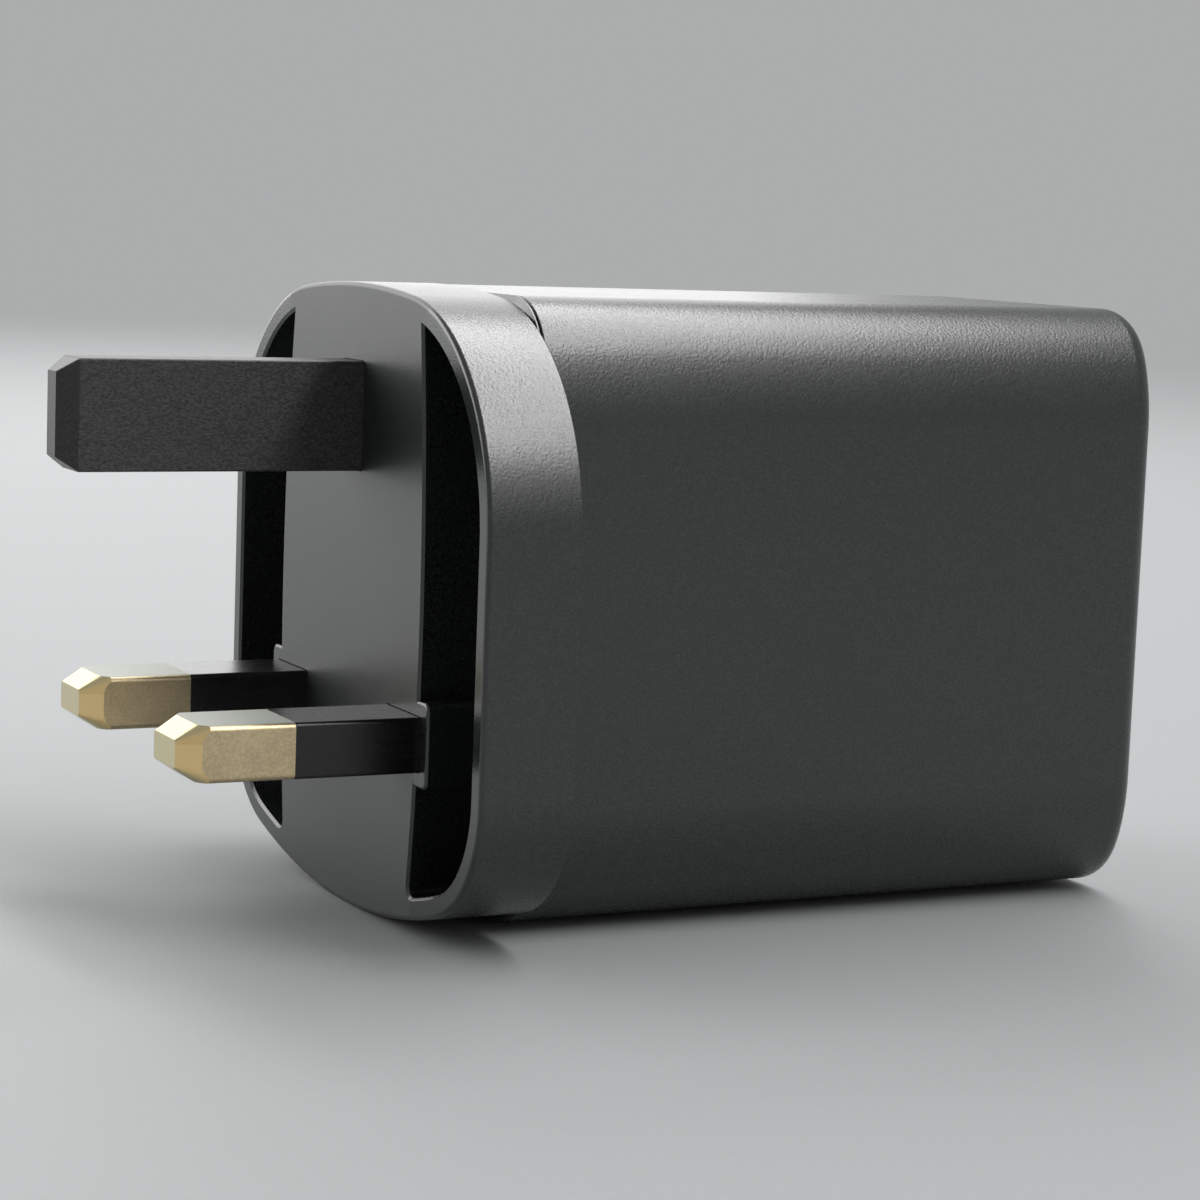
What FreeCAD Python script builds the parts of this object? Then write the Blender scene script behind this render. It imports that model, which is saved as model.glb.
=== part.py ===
"""Three-pin wall charger: a plug base with its pins, and a moulded body that holds the electronics.

Lengths are in millimetres. While the pieces are made, X = 0 is the plug face with the pins towards -X,
Y = 0 is the middle of the width, and Z = 0 is the lowest point of the collar. Each piece is then moved
along X, so that the origin lies at the middle of the underside of the whole charger.
"""
import FreeCAD
import Part
import math
import os

Vector = FreeCAD.Vector
same_place = 1e-4

# Pins, to the usual three-pin pattern
pin_spacing = 22.23
pin_width = 6.35
pin_thickness = 4.0
pin_length = 17.7
pin_edge_radius = 0.4
pin_tip_width = 4.55
pin_tip_thickness = 2.0
pin_tip_radius = 0.3
pin_side_bevel = 1.65
pin_broad_bevel = 1.5
pin_taper_length = 2.6
pin_taper_radius = 2.0
sleeve_length = 9.3
sleeve_wall = 0.7
sleeve_edge_radius = 0.3
earth_rise = 22.23
earth_width = 4.0
earth_height = 8.0
earth_length = 22.73
earth_edge_radius = 0.15
earth_tip_length = 1.45
earth_tip_width = 2.0
earth_tip_height = 6.0
pin_head_depth = 0.6
earth_head_depth = 1.2
earth_head_lip = 1.0

# Collar round the plug face
pin_line_height = 14.2
collar_top_margin = 5.7
collar_side_margin = 10.46
collar_depth = 7.05
collar_edge_radius = 0.35
collar_rear_radius = 0.1
crown_radius_top = 94.0
corner_radius_top = 16.1
crown_radius_bottom = 64.0
corner_radius_bottom = 9.8

# Side recesses of the plug face, and the strip between them
rim_wall = 1.6
recess_floor = 1.45
recess_chamfer = 0.2
recess_corner_radius = 0.7
strip_width = 27.5
strip_bow_radius = 165.0
strip_wall = 1.6
face_wall = 2.2
boss_margin = 1.1
boss_depth = 9.0
boss_corner_radius = 0.6
boss_edge_radius = 0.25

# Joint between the base and the body
flange_depth = 0.4
flange_slope = 0.6
flange_land = 0.1
seam_gap = 0.15
spigot_depth = 4.0
spigot_wall = 1.4

# Body shell
body_side_margin = 3.16
body_top_step = 0.35
body_bottom_step = 0.55
body_corner_radius = 5.1
body_ease_radius = 8.0
body_ease_angle = 30.0
body_side_radius = 16.0
body_side_angle = 18.0
inside_corner_least = 0.5
body_end_radius = 1.8
body_front_radius = 0.12
body_wall = 1.8
end_wall = 2.0
panel_margin = 2.6
panel_depth = 1.2
panel_ledge = 1.0
panel_edge_radius = 0.2
rib_height = 1.6
rib_width = 1.0

# Clearances
pin_fit_gap = 0.05
moulded_gap = 0.02
spigot_gap = 0.1
board_gap = 0.5
board_edge_gap = 0.6
slot_gap = 0.1
seat_gap = 0.05
part_gap = 0.6
port_gap = 0.12
panel_gap = 0.08
core_gap = 0.15
creepage_gap = 2.2

# Boards, and the layers between the main board and the side wall
board_thickness = 1.2
sheet_thickness = 0.3
spreader_thickness = 0.8
pad_thickness = 0.9
chip_height = 1.2
chip_size = 8.0
chip_spacing = 17.0
pad_margin = 1.0
spreader_margin = 6.6

# Contact strips
strip_metal = 0.5
strip_run_width = 4.0
strip_ear_width = 3.0
strip_tab_length = 3.0
strip_overlap = 2.5

# Parts on the main board
film_capacitor_depth = 5.5
film_capacitor_length = 11.5
film_capacitor_height = 11.0
film_capacitor_edge = 0.5
fuse_radius = 1.6
fuse_length = 8.5
bulk_radius = 5.0
bulk_height = 18.5
bulk_count = 2
can_edge_radius = 0.6
choke_bore_radius = 3.5
choke_core_width = 3.0
choke_core_depth = 4.2
choke_wire_layer = 0.8
choke_wire_angle = 130.0
choke_base_thickness = 1.4
disc_radius = 3.6
disc_thickness = 3.2
core_span = 20.0
core_breadth = 12.0
core_plate = 3.0
core_leg = 2.3
core_window = 9.0
core_post_radius = 4.0
post_air_gap = 0.3
bobbin_wall = 0.7
winding_margin = 0.4

# Output end
spare_length = 2.6
output_can_radius = 3.15
output_can_length = 7.5
control_chip_size = 5.0
control_chip_height = 0.9
port_length = 10.2
port_inset = 0.55
port_pitch = 10.0
port_wall = 0.3
port_window_chamfer = 0.35
c_port_mouth_depth = 4.6
port_tongue_setback = 0.7
c_port_width = 8.94
c_port_height = 3.26
c_tongue_width = 6.7
c_tongue_thickness = 0.7
a_port_width = 13.1
a_port_height = 5.7
a_port_corner = 0.6
a_port_mouth_depth = 8.4
a_tongue_width = 11.1
a_tongue_thickness = 1.9
a_tongue_offset = 0.95

# Heights and widths that follow from the pins
collar_width = pin_spacing + pin_width + 2 * collar_side_margin
earth_line_height = pin_line_height + earth_rise
collar_height = earth_line_height + earth_height / 2 + collar_top_margin
body_width = pin_spacing + pin_width + 2 * body_side_margin
body_low = body_bottom_step
body_top = collar_height - body_top_step
body_height = body_top - body_low
body_middle = (body_low + body_top) / 2
inner_half = body_width / 2 - body_wall
inner_low = body_low + body_wall
inner_top = body_top - body_wall
inner_height = inner_top - inner_low

# Places along X, from the plug face to the output end
flange_back = collar_depth + flange_depth
seam_front = flange_back + seam_gap
spigot_back = flange_back + spigot_depth
pin_head_back = boss_depth + pin_head_depth
board_front_x = spigot_back + board_gap
film_x = board_front_x + part_gap
film_back = film_x + film_capacitor_depth
fuse_x = board_front_x + strip_tab_length + part_gap
fuse_back = fuse_x + 2 * fuse_radius
choke_radius = choke_bore_radius + choke_core_width
choke_reach = choke_radius + choke_wire_layer
choke_back = film_x + 2 * choke_reach
bulk_x = max(film_back, fuse_back) + part_gap
bulk_back = bulk_x + 2 * bulk_radius
core_x = max(bulk_back, choke_back) + part_gap
bobbin_radius = core_span / 2 - core_leg - core_gap
output_board_x = core_x + 2 * bobbin_radius + spare_length
port_back = output_board_x + board_thickness
port_face = port_back + port_length
body_end = port_face + port_inset

# Places along Y, from the side wall in to the main board
sheet_y = inner_half - slot_gap - sheet_thickness
spreader_y = sheet_y - spreader_thickness
pad_y = spreader_y - pad_thickness
board_back_y = pad_y - chip_height
board_face_y = board_back_y - board_thickness

# Places along Z on the main board
board_low = inner_low + board_edge_gap
board_top = inner_top - board_edge_gap
strip_run_top = pin_line_height - pin_thickness / 2 - creepage_gap
strip_run_low = strip_run_top - strip_run_width
film_low = pin_line_height + strip_run_width / 2 + part_gap
film_top = film_low + film_capacitor_length
rib_top = board_low + rib_height
bulk_step = 2 * bulk_radius + part_gap
bulk_top = rib_top + bulk_count * bulk_step
choke_low = max(film_top, bulk_top) + part_gap
a_port_z = body_middle - port_pitch

to_origin = Vector((earth_length - body_end) / 2, 0, 0)


def save(name, shape):
    """Writes one finished piece, moved from the plug face frame to the charger's own origin."""
    shape.translated(to_origin).exportStep("parts/" + name + ".step")


def box(x_low, x_high, y_low, y_high, z_low, z_high):
    corner = Vector(x_low, y_low, z_low)
    return Part.makeBox(x_high - x_low, y_high - y_low, z_high - z_low, corner)


def arc(x, y, z, radius, start, end):
    """An arc in a plane across X; angles in degrees turn from +Y towards +Z."""
    points = []
    for angle in (start, (start + end) / 2, end):
        turn = math.radians(angle)
        points.append(Vector(x, y + radius * math.cos(turn), z + radius * math.sin(turn)))
    return Part.Arc(*points).toShape()


def closed_wire(arcs):
    """Joins arcs in order into a closed outline, with straight sides where two arcs do not meet."""
    edges = []
    for this, following in zip(arcs, arcs[1:] + arcs[:1]):
        edges.append(this)
        here = this.Vertexes[-1].Point
        there = following.Vertexes[0].Point
        if here.distanceToPoint(there) > same_place:
            edges.append(Part.makeLine(here, there))
    return Part.Wire(edges)


def rounded_wire(x, y_mid, z_mid, width, height, radius):
    """A rectangle across X with rounded corners, which may meet in a full round end."""
    radius = min(radius, width / 2, height / 2)
    half_y = width / 2 - radius
    half_z = height / 2 - radius
    corners = ((1, 1, 0), (-1, 1, 90), (-1, -1, 180), (1, -1, 270))
    arcs = [arc(x, y_mid + sy * half_y, z_mid + sz * half_z, radius, start, start + 90)
            for sy, sz, start in corners]
    return closed_wire(arcs)


def rounded_bar(x_low, x_high, y_mid, z_mid, width, height, radius):
    wire = rounded_wire(x_low, y_mid, z_mid, width, height, radius)
    return Part.Face(wire).extrude(Vector(x_high - x_low, 0, 0))


def body_wire(x, inset):
    """The body's outline in a plane across X, drawn in by an inset on every side.

    Each corner is a tight arc that eases into the side along two wider ones.
    """
    drawn_in = min(inset, body_corner_radius - inside_corner_least)
    bends = ((body_side_radius, 0, body_side_angle),
             (body_ease_radius, body_side_angle, body_ease_angle),
             (body_corner_radius, body_ease_angle, 90))
    corner = []
    y = body_width / 2 - inset
    z = 0
    last_radius = 0
    for outer_radius, low, high in bends:
        radius = outer_radius - drawn_in
        turn = math.radians(low)
        y += (last_radius - radius) * math.cos(turn)
        z += (last_radius - radius) * math.sin(turn)
        corner.append((y, z, radius, low, high))
        last_radius = radius
    lift = body_height / 2 - inset - z - last_radius
    arcs = []
    for sy, sz, turn in ((1, 1, 0), (-1, 1, 180), (-1, -1, 180), (1, -1, 360)):
        rising = sy == sz
        ordered = corner if rising else corner[::-1]
        for y, z, radius, low, high in ordered:
            angles = (turn + low, turn + high) if rising else (turn - high, turn - low)
            arcs.append(arc(x, sy * y, body_middle + sz * (z + lift), radius, *angles))
    return closed_wire(arcs)


def body_bar(x_low, x_high, inset):
    return Part.Face(body_wire(x_low, inset)).extrude(Vector(x_high - x_low, 0, 0))


def edges_across(shape, x):
    """The edges of a shape that lie wholly in the plane across X at the place given."""
    return [edge for edge in shape.Edges
            if abs(edge.BoundBox.XMin - x) < same_place and abs(edge.BoundBox.XMax - x) < same_place]


def collar_face(x, inset):
    """The collar's outline: crowned top and bottom, round corners and straight sides."""
    arcs = []
    for sign, crest, crown, corner in ((1, collar_height, crown_radius_top, corner_radius_top),
                                       (-1, 0, crown_radius_bottom, corner_radius_bottom)):
        crown_z = crest - sign * crown
        corner_y = collar_width / 2 - corner
        lift = math.sqrt((crown - corner) ** 2 - corner_y ** 2)
        corner_z = crown_z + sign * lift
        meet = math.degrees(math.atan2(lift, corner_y))
        first = 0 if sign > 0 else 180
        arcs.append(arc(x, sign * corner_y, corner_z, corner - inset, first, first + meet))
        arcs.append(arc(x, 0, crown_z, crown - inset, first + meet, first + 180 - meet))
        arcs.append(arc(x, -sign * corner_y, corner_z, corner - inset, first + 180 - meet, first + 180))
    return Part.Face(closed_wire(arcs))


def strip_face(x, half_width):
    """The bowed strip between the two recesses, taller than the collar."""
    side = strip_bow_radius - half_width
    middle = collar_height / 2
    reach = math.degrees(math.asin(collar_height / strip_bow_radius))
    right = arc(x, -side, middle, strip_bow_radius, -reach, reach)
    left = arc(x, side, middle, strip_bow_radius, 180 - reach, 180 + reach)
    return Part.Face(closed_wire([right, left]))


def pin_places():
    """The live pin is on the +Y side and the neutral pin on the -Y side."""
    return (("live", 1), ("neutral", -1))


def pin_sections():
    """Centre, size and edge radius of each pin where it goes through the base: earth, live and neutral."""
    sections = [(0, earth_line_height, earth_width, earth_height, earth_edge_radius)]
    for _, side in pin_places():
        y = side * pin_spacing / 2
        sections.append((y, pin_line_height, pin_width, pin_thickness, sleeve_edge_radius))
    return sections


def make_boss(y, z, width, height):
    """Block round a pin's root, with a softened front edge where it stands out into a recess."""
    wide = width + 2 * boss_margin
    tall = height + 2 * boss_margin
    boss = rounded_bar(0, boss_depth, y, z, wide, tall, boss_corner_radius)
    return boss.makeFillet(boss_edge_radius, edges_across(boss, 0))


def make_pin_hole(y, z, width, height, radius):
    wide = width + 2 * pin_fit_gap
    tall = height + 2 * pin_fit_gap
    return rounded_bar(0, spigot_back, y, z, wide, tall, radius)


def recess_wires(x, flare):
    """Outlines of the two recesses in a plane across X, opened out by a flare on every side.

    Each is pointed at the top, where the strip meets the rim, and round at its lower inner corner.
    """
    wires = []
    for face in collar_face(x, rim_wall - flare).cut(strip_face(x, strip_width / 2 - flare)).Faces:
        slab = face.extrude(Vector(collar_depth, 0, 0))
        lengthwise = [edge for edge in slab.Edges if edge.BoundBox.XLength > collar_depth / 2]
        lowest = min(lengthwise, key=lambda edge: edge.BoundBox.ZMin)
        slab = slab.makeFillet(recess_corner_radius + flare, [lowest])
        front = min(slab.Faces, key=lambda side: side.CenterOfMass.x)
        wires.append(front.OuterWire)
    return wires


def make_collar():
    """The collar block with its two side recesses, whose mouths have a small chamfer."""
    collar = collar_face(0, 0).extrude(Vector(collar_depth, 0, 0))
    collar = collar.makeFillet(collar_edge_radius, edges_across(collar, 0))
    collar = collar.makeFillet(collar_rear_radius, edges_across(collar, collar_depth))
    depth = collar_depth - recess_floor
    for mouth, throat in zip(recess_wires(0, recess_chamfer), recess_wires(recess_chamfer, 0)):
        flare = Part.makeLoft([mouth, throat], True, True)
        pocket = Part.Face(throat).extrude(Vector(depth - recess_chamfer, 0, 0))
        collar = collar.cut(flare.fuse(pocket))
    return collar


def make_flange():
    """Thin rim behind the collar, as large as the body, with a front that slopes up from the collar."""
    slope_back = flange_back - flange_land
    slope = Part.makeLoft([body_wire(collar_depth, flange_slope), body_wire(slope_back, 0)], True, True)
    return slope.fuse(body_bar(slope_back, flange_back, 0))


def make_plug_base():
    """One moulding: collar, face, recess floors, pin bosses, flange and the spigot that enters the body."""
    spigot_inset = body_wall + spigot_gap
    bore_inset = spigot_inset + spigot_wall
    block = collar_face(0, 0).extrude(Vector(collar_depth, 0, 0))
    rear = make_flange().fuse(body_bar(flange_back, spigot_back, spigot_inset))
    base = make_collar().fuse(rear.cut(body_bar(flange_back, spigot_back, bore_inset)))
    hollow = body_bar(face_wall, flange_back, bore_inset)
    core = strip_face(face_wall, strip_width / 2 - strip_wall).extrude(Vector(flange_back - face_wall, 0, 0))
    base = base.cut(hollow.common(core))
    bosses = [make_boss(y, z, width, height) for y, z, width, height, _ in pin_sections()]
    holes = [make_pin_hole(*section) for section in pin_sections()]
    bosses = Part.makeCompound(bosses).common(block.fuse(rear))
    return base.fuse(bosses).cut(Part.makeCompound(holes)).removeSplitter()


def make_pin_point(y, shoulder):
    """Front of a pin: the bar cut to a taper whose corners grow rounder from the tip back to the shoulder.

    So the bevels are shortest in the middle of each face and reach further back at the corners.
    """
    z = pin_line_height
    width = pin_tip_width + (pin_width - pin_tip_width) * pin_taper_length / pin_side_bevel
    thickness = pin_tip_thickness + (pin_thickness - pin_tip_thickness) * pin_taper_length / pin_broad_bevel
    tip = rounded_wire(-pin_length, y, z, pin_tip_width, pin_tip_thickness, pin_tip_radius)
    back = rounded_wire(shoulder, y, z, width, thickness, pin_taper_radius)
    taper = Part.makeLoft([tip, back], True, True)
    return taper.common(rounded_bar(-pin_length, shoulder, y, z, pin_width, pin_thickness, pin_edge_radius))


def make_pin(y):
    """Brass pin: blunt tapered tip, full shank, a thinner neck under the sleeve and a head at the back."""
    shoulder = pin_taper_length - pin_length
    z = pin_line_height
    point = make_pin_point(y, shoulder)
    shank = rounded_bar(shoulder, -sleeve_length, y, z, pin_width, pin_thickness, pin_edge_radius)
    neck = rounded_bar(-sleeve_length, boss_depth, y, z, pin_width - 2 * sleeve_wall,
                       pin_thickness - 2 * sleeve_wall, pin_edge_radius)
    head = rounded_bar(boss_depth, pin_head_back, y, z, pin_width, pin_thickness, pin_edge_radius)
    return point.fuse([shank, neck, head]).removeSplitter()


def make_pin_sleeve(y):
    """Insulating sleeve moulded round the neck of a pin, level with the brass in front of it."""
    z = pin_line_height
    drawn_in = 2 * (sleeve_wall - moulded_gap)
    outer = rounded_bar(-sleeve_length, boss_depth, y, z, pin_width, pin_thickness, sleeve_edge_radius)
    bore = rounded_bar(-sleeve_length, boss_depth, y, z, pin_width - drawn_in, pin_thickness - drawn_in,
                       pin_edge_radius + moulded_gap)
    return outer.cut(bore)


def make_earth_pin():
    """Moulded earth pin with a blunt tapered tip, held by a lip behind its boss."""
    shoulder = earth_tip_length - earth_length
    z = earth_line_height
    tip = rounded_wire(-earth_length, 0, z, earth_tip_width, earth_tip_height, earth_edge_radius)
    root = rounded_wire(shoulder, 0, z, earth_width, earth_height, earth_edge_radius)
    point = Part.makeLoft([tip, root], True, True)
    shank = rounded_bar(shoulder, boss_depth, 0, z, earth_width, earth_height, earth_edge_radius)
    head = rounded_bar(boss_depth, boss_depth + earth_head_depth, 0, z, earth_width + 2 * earth_head_lip,
                       earth_height + 2 * earth_head_lip, earth_edge_radius)
    return point.fuse([shank, head]).removeSplitter()


def c_port_places():
    """Name and height of the two slim sockets, from the top down; the wide socket is below them."""
    return (("usb_c_upper", body_middle + port_pitch), ("usb_c_lower", body_middle))


def port_window(z, width, height, corner):
    """Cutter for a socket's window in the output panel, with a chamfered outer edge."""
    wide = width + 2 * port_gap
    tall = height + 2 * port_gap
    radius = corner + port_gap
    through = rounded_bar(port_back, body_end, 0, z, wide, tall, radius)
    inner = rounded_wire(body_end - port_window_chamfer, 0, z, wide, tall, radius)
    outer = rounded_wire(body_end, 0, z, wide + 2 * port_window_chamfer, tall + 2 * port_window_chamfer,
                         radius + port_window_chamfer)
    return through.fuse(Part.makeLoft([inner, outer], True, True))


def make_main_housing():
    """Moulded sleeve, open towards the plug base, with ribs for the board and a seat for the panel."""
    shell = body_bar(seam_front, body_end, 0)
    shell = shell.makeFillet(body_end_radius, edges_across(shell, body_end))
    shell = shell.makeFillet(body_front_radius, edges_across(shell, seam_front))
    shell = shell.cut(body_bar(seam_front, body_end - end_wall, body_wall))
    rib_end = output_board_x - board_gap
    ribs = []
    for y in (board_face_y - slot_gap - rib_width, board_back_y + slot_gap):
        ribs.append(box(board_front_x, rib_end, y, y + rib_width, inner_low - body_wall / 2,
                        inner_low + rib_height))
        ribs.append(box(board_front_x, rib_end, y, y + rib_width, inner_top - rib_height,
                        inner_top + body_wall / 2))
    seat = body_bar(body_end - panel_depth, body_end, panel_margin)
    through = body_bar(body_end - end_wall, body_end, panel_margin + panel_ledge)
    return shell.fuse(ribs).cut([seat, through]).removeSplitter()


def make_output_panel():
    """Stepped plate glued into the end of the body, with a window for each socket."""
    flange = body_bar(body_end - panel_depth, body_end, panel_margin + panel_gap)
    flange = flange.makeFillet(panel_edge_radius, edges_across(flange, body_end))
    tongue = body_bar(body_end - end_wall, body_end - panel_depth, panel_margin + panel_ledge + panel_gap)
    windows = [port_window(z, c_port_width, c_port_height, c_port_height / 2) for _, z in c_port_places()]
    windows.append(port_window(a_port_z, a_port_width, a_port_height, a_port_corner))
    return flange.fuse(tongue).cut(Part.makeCompound(windows)).removeSplitter()


def make_contact_strip(side):
    """Folded metal strip from the head of a pin to a tab on the face of the main board."""
    y = side * pin_spacing / 2
    front = pin_head_back
    back = front + strip_metal
    low = pin_line_height - strip_run_width / 2
    high = pin_line_height + strip_run_width / 2
    if side > 0:
        plate = box(front, back, board_face_y - strip_overlap, board_face_y, low, high)
    else:
        low = strip_run_low
        ear_high = high
        high = strip_run_top
        ear = box(front, back, y - strip_ear_width / 2, y + strip_ear_width / 2, low, ear_high)
        plate = ear.fuse(box(front, back, y, board_face_y, low, high))
    tab = box(front, board_front_x + strip_tab_length, board_face_y - strip_metal, board_face_y, low, high)
    return plate.fuse(tab).removeSplitter()


def make_main_board():
    return box(board_front_x, output_board_x - slot_gap, board_face_y, board_back_y, board_low, board_top)


def make_output_board():
    """Board across the end of the body that carries the sockets."""
    return body_bar(output_board_x, port_back, body_wall + board_edge_gap)


def chip_places():
    """The two power chips sit on the back of the main board, one above the other."""
    x = (board_front_x + output_board_x) / 2
    return (("bridge_rectifier", x, body_middle - chip_spacing / 2),
            ("power_switch", x, body_middle + chip_spacing / 2))


def square_on_wall(x, z, size, y_low, y_high):
    """A square plate lying along the side wall, centred on a point of the main board."""
    return box(x - size / 2, x + size / 2, y_low, y_high, z - size / 2, z + size / 2)


def wall_plate(y_low, y_high):
    """A plate along the flat of the side wall, as long as the main board."""
    return box(board_front_x, output_board_x - board_gap, y_low, y_high, inner_low + spreader_margin,
               inner_top - spreader_margin)


def make_film_capacitor():
    block = box(film_x, film_x + film_capacitor_depth, board_face_y - film_capacitor_height, board_face_y,
                film_low, film_low + film_capacitor_length)
    return block.makeFillet(film_capacitor_edge, block.Edges)


def make_fuse():
    """Cylindrical fuse lying on the board beside the contact tabs."""
    base = Vector(fuse_x + fuse_radius, board_face_y - seat_gap - fuse_radius, rib_top)
    return Part.makeCylinder(fuse_radius, fuse_length, base, Vector(0, 0, 1))


def make_bulk_capacitor(index):
    """Upright can on the main board."""
    foot = Vector(bulk_x + bulk_radius, board_face_y, rib_top + part_gap + bulk_radius + index * bulk_step)
    can = Part.makeCylinder(bulk_radius, bulk_height, foot, Vector(0, -1, 0))
    return can.makeFillet(can_edge_radius, can.Edges)


def choke_axis():
    """Point on the choke's axis, which is upright in Z, at the low end of its windings."""
    drop = max(choke_radius, choke_reach * math.sin(math.radians(choke_wire_angle / 2)))
    return Vector(film_x + choke_reach, board_face_y - choke_base_thickness - seat_gap - drop, choke_low)


def choke_ring(margin, angle, start):
    """Part of a ring about the choke's axis, with a margin round the core's rectangular section."""
    axis = choke_axis()
    inner = choke_bore_radius - margin
    low = axis.z + choke_wire_layer - margin
    deep = choke_core_depth + 2 * margin
    wide = choke_core_width + 2 * margin
    corner = Vector(axis.x + inner, axis.y, low)
    section = Part.makePlane(wide, deep, corner, Vector(0, -1, 0), Vector(1, 0, 0))
    section.rotate(axis, Vector(0, 0, 1), start)
    return section.revolve(axis, Vector(0, 0, 1), angle)


def make_choke_winding(start):
    """Copper wound on one side of the ring core."""
    outer = choke_ring(choke_wire_layer, choke_wire_angle, start - choke_wire_angle / 2)
    bore = choke_ring(seat_gap, choke_wire_angle, start - choke_wire_angle / 2)
    return outer.cut(bore)


def make_choke_base():
    """Plastic foot between the choke and the board."""
    axis = choke_axis()
    foot = board_face_y - choke_base_thickness
    top = axis.z + choke_core_depth + 2 * choke_wire_layer
    return box(axis.x - choke_radius, axis.x + choke_radius, foot, board_face_y, axis.z, top)


def make_safety_capacitor():
    """Disc capacitor on edge below the transformer."""
    base = Vector(core_x + bobbin_radius, board_face_y - seat_gap - disc_radius, rib_top)
    return Part.makeCylinder(disc_radius, disc_thickness, base, Vector(0, 0, 1))


def make_core_half(upper):
    """Ferrite half: a plate, two outer legs and a round post, facing its fellow across the window."""
    x = core_x + bobbin_radius
    top = core_plate + core_window + core_plate
    half = core_window / 2
    plate_y = board_face_y - core_plate
    x_low = x - core_breadth / 2
    x_high = x + core_breadth / 2
    z_low = body_middle - core_span / 2
    z_high = body_middle + core_span / 2
    plate = box(x_low, x_high, plate_y, board_face_y, z_low, z_high)
    legs = [box(x_low, x_high, plate_y - half, plate_y, z_low, z_low + core_leg),
            box(x_low, x_high, plate_y - half, plate_y, z_high - core_leg, z_high)]
    post = Part.makeCylinder(core_post_radius, half - post_air_gap / 2, Vector(x, plate_y, body_middle),
                             Vector(0, -1, 0))
    core = plate.fuse(legs + [post]).removeSplitter()
    if upper:
        core = core.mirror(Vector(x, board_face_y - top / 2, body_middle), Vector(0, 1, 0))
    return core


def upright_ring(y_from, length, inner, outer):
    """A ring about the transformer's post, from a height above the board upwards."""
    start = Vector(core_x + bobbin_radius, y_from, body_middle)
    up = Vector(0, -1, 0)
    return Part.makeCylinder(outer, length, start, up).cut(Part.makeCylinder(inner, length, start, up))


def make_bobbin():
    """Plastic reel on the post, with a flange at each end of the window."""
    low = board_face_y - core_plate - seat_gap
    length = core_window - 2 * seat_gap
    inner = core_post_radius + core_gap
    tube = upright_ring(low, length, inner, inner + bobbin_wall)
    flanges = [upright_ring(y, bobbin_wall, inner, bobbin_radius)
               for y in (low, low - length + bobbin_wall)]
    return tube.fuse(flanges).removeSplitter()


def make_winding():
    """Taped copper winding between the reel's flanges."""
    low = board_face_y - core_plate - 2 * seat_gap - bobbin_wall
    length = core_window - 4 * seat_gap - 2 * bobbin_wall
    inner = core_post_radius + core_gap + bobbin_wall + seat_gap
    return upright_ring(low, length, inner, bobbin_radius - winding_margin)


def make_output_capacitor(sign):
    """Small can on the front of the output board, beyond the top or bottom of the transformer."""
    reach = inner_height / 2 - board_edge_gap - output_can_radius - part_gap
    base = Vector(output_board_x, -inner_half / 2, body_middle + sign * reach)
    can = Part.makeCylinder(output_can_radius, output_can_length, base, Vector(-1, 0, 0))
    return can.makeFillet(can_edge_radius, can.Edges)


def make_port_controller():
    half = control_chip_size / 2
    return box(output_board_x - control_chip_height, output_board_x, -half, half,
               body_middle - half, body_middle + half)


def make_port_shell(z, width, height, corner):
    """Plated steel socket shell standing on the output board."""
    outer = rounded_bar(port_back, port_face, 0, z, width, height, corner)
    bore = rounded_bar(port_back, port_face, 0, z, width - 2 * port_wall, height - 2 * port_wall,
                       corner - port_wall)
    return outer.cut(bore)


def make_port_insulator(z, width, height, corner, mouth_depth, tongue):
    """Plastic insert that closes the back of a socket shell and carries its contact tongue."""
    inset = port_wall + moulded_gap
    block = rounded_bar(port_back, port_face - mouth_depth, 0, z, width - 2 * inset, height - 2 * inset,
                        corner - inset)
    tongue_width, tongue_thickness, tongue_offset = tongue
    half = tongue_width / 2
    blade_low = z + tongue_offset - tongue_thickness / 2
    blade = box(port_face - mouth_depth, port_face - port_tongue_setback, -half, half, blade_low,
                blade_low + tongue_thickness)
    return block.fuse(blade).removeSplitter()


os.makedirs("parts", exist_ok=True)

save("plug_base", make_plug_base())
save("main_housing", make_main_housing())
save("output_panel", make_output_panel())
save("earth_pin", make_earth_pin())
for name, side in pin_places():
    save(name + "_pin", make_pin(side * pin_spacing / 2))
    save(name + "_pin_sleeve", make_pin_sleeve(side * pin_spacing / 2))
    save(name + "_contact_strip", make_contact_strip(side))

save("main_board", make_main_board())
save("output_board", make_output_board())
save("insulating_sheet", wall_plate(sheet_y, sheet_y + sheet_thickness))
save("heat_spreader", wall_plate(spreader_y, sheet_y))
for name, x, z in chip_places():
    save(name, square_on_wall(x, z, chip_size, board_back_y, pad_y))
    save(name + "_pad", square_on_wall(x, z, chip_size + 2 * pad_margin, pad_y, spreader_y))

save("film_capacitor", make_film_capacitor())
save("fuse", make_fuse())
for index in range(bulk_count):
    save("bulk_capacitor_" + str(index + 1), make_bulk_capacitor(index))
save("choke_core", choke_ring(0, 360, 0))
save("choke_winding_live", make_choke_winding(0))
save("choke_winding_neutral", make_choke_winding(180))
save("choke_base", make_choke_base())
save("safety_capacitor", make_safety_capacitor())
save("transformer_core_lower", make_core_half(False))
save("transformer_core_upper", make_core_half(True))
save("transformer_bobbin", make_bobbin())
save("transformer_winding", make_winding())
save("output_capacitor_upper", make_output_capacitor(1))
save("output_capacitor_lower", make_output_capacitor(-1))
save("port_controller", make_port_controller())

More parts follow.
